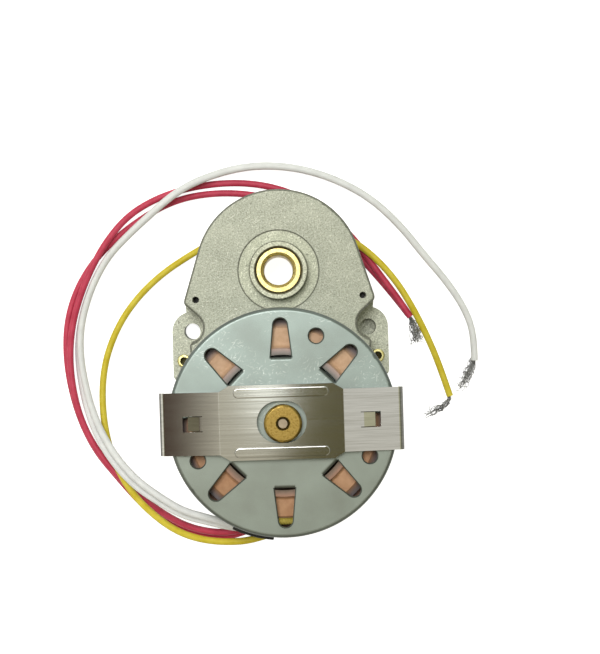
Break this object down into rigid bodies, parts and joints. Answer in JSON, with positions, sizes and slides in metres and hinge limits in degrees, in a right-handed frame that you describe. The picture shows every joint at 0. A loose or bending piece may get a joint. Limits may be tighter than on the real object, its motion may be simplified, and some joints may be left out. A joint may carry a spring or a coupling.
{
  "type": "synchronous gear motor",
  "caption": "Reversible synchronous motor in a slotted steel can on a die-cast reduction gear case, with a hollow brass output sleeve, spring clip and free leads.",
  "frame": {"origin": "on the output sleeve's axis, in the plane of the four feet", "axes": "+Z along the output axis from the feet to the motor's rear bearing, +Y from the motor axis to the output axis, +X along the spring clip"},
  "size_m": [0.1177, 0.1051, 0.0429],
  "materials": {
    "die_cast": "matte die-cast zinc alloy, fine speckle",
    "brass": "turned, satin",
    "gear_brass": "cut teeth",
    "steel": "ground",
    "galvanised_sheet": "satin galvanised sheet",
    "spring_steel": "nickel plated, grain along the strip",
    "ferrite": "sintered",
    "hub_plastic": "moulded",
    "bobbin_plastic": "moulded",
    "winding": "enamelled wire",
    "black_plastic": "moulded",
    "white_insulation": "extruded",
    "red_insulation": "extruded",
    "yellow_insulation": "extruded",
    "bare_wire": "tinned strands"
  },
  "bodies": {
    "base": {"gear_case": "die_cast", "back_plate": "die_cast", "ear_rivets": "brass", "case_screws": "steel", "output_washers": "steel", "gear_arbors": "steel", "rear_bush": "brass", "front_bush": "brass", "rotor_washers": "steel", "motor_can": "galvanised_sheet", "mount_plate": "galvanised_sheet", "upper_pole_plate": "galvanised_sheet", "lower_pole_plate": "galvanised_sheet", "upper_bobbin": "bobbin_plastic", "lower_bobbin": "bobbin_plastic", "upper_coil": "winding", "lower_coil": "winding", "coil_tail": "yellow_insulation", "lead_block": "black_plastic", "spring_clip": "spring_steel", "white_lead_1": "white_insulation", "white_lead_2": "white_insulation", "red_lead_1": "red_insulation", "red_lead_2": "red_insulation", "yellow_lead": "yellow_insulation", "stripped_ends": "bare_wire"},
    "rotor": {"rotor_shaft": "steel", "rotor_hub": "hub_plastic", "rotor_magnet": "ferrite", "motor_pinion": "steel"},
    "first_stage": {"first_wheel": "gear_brass", "first_pinion": "steel"},
    "second_stage": {"second_wheel": "gear_brass", "second_pinion": "steel"},
    "output": {"output_gear": "gear_brass", "output_sleeve": "brass"}
  },
  "joints": [
    {"name": "rotor_spin", "type": "hinge", "parent": "base", "child": "rotor", "pos_m": [0, -0.04, 0], "axis": [0, 0, 1], "continuous": true},
    {"name": "first_spin", "type": "hinge", "parent": "base", "child": "first_stage", "pos_m": [-0.00655, -0.02768, 0], "axis": [0, 0, 1], "continuous": true},
    {"name": "second_spin", "type": "hinge", "parent": "base", "child": "second_stage", "pos_m": [0.00687, -0.02132, 0], "axis": [0, 0, 1], "continuous": true},
    {"name": "output_spin", "type": "hinge", "parent": "base", "child": "output", "pos_m": [0, 0, 0], "axis": [0, 0, 1], "continuous": true}
  ],
  "couplings": [
    {"joint": "first_spin", "follows": "rotor_spin", "ratio": -0.24},
    {"joint": "second_spin", "follows": "rotor_spin", "ratio": 0.068571},
    {"joint": "output_spin", "follows": "rotor_spin", "ratio": -0.015824}
  ]
}
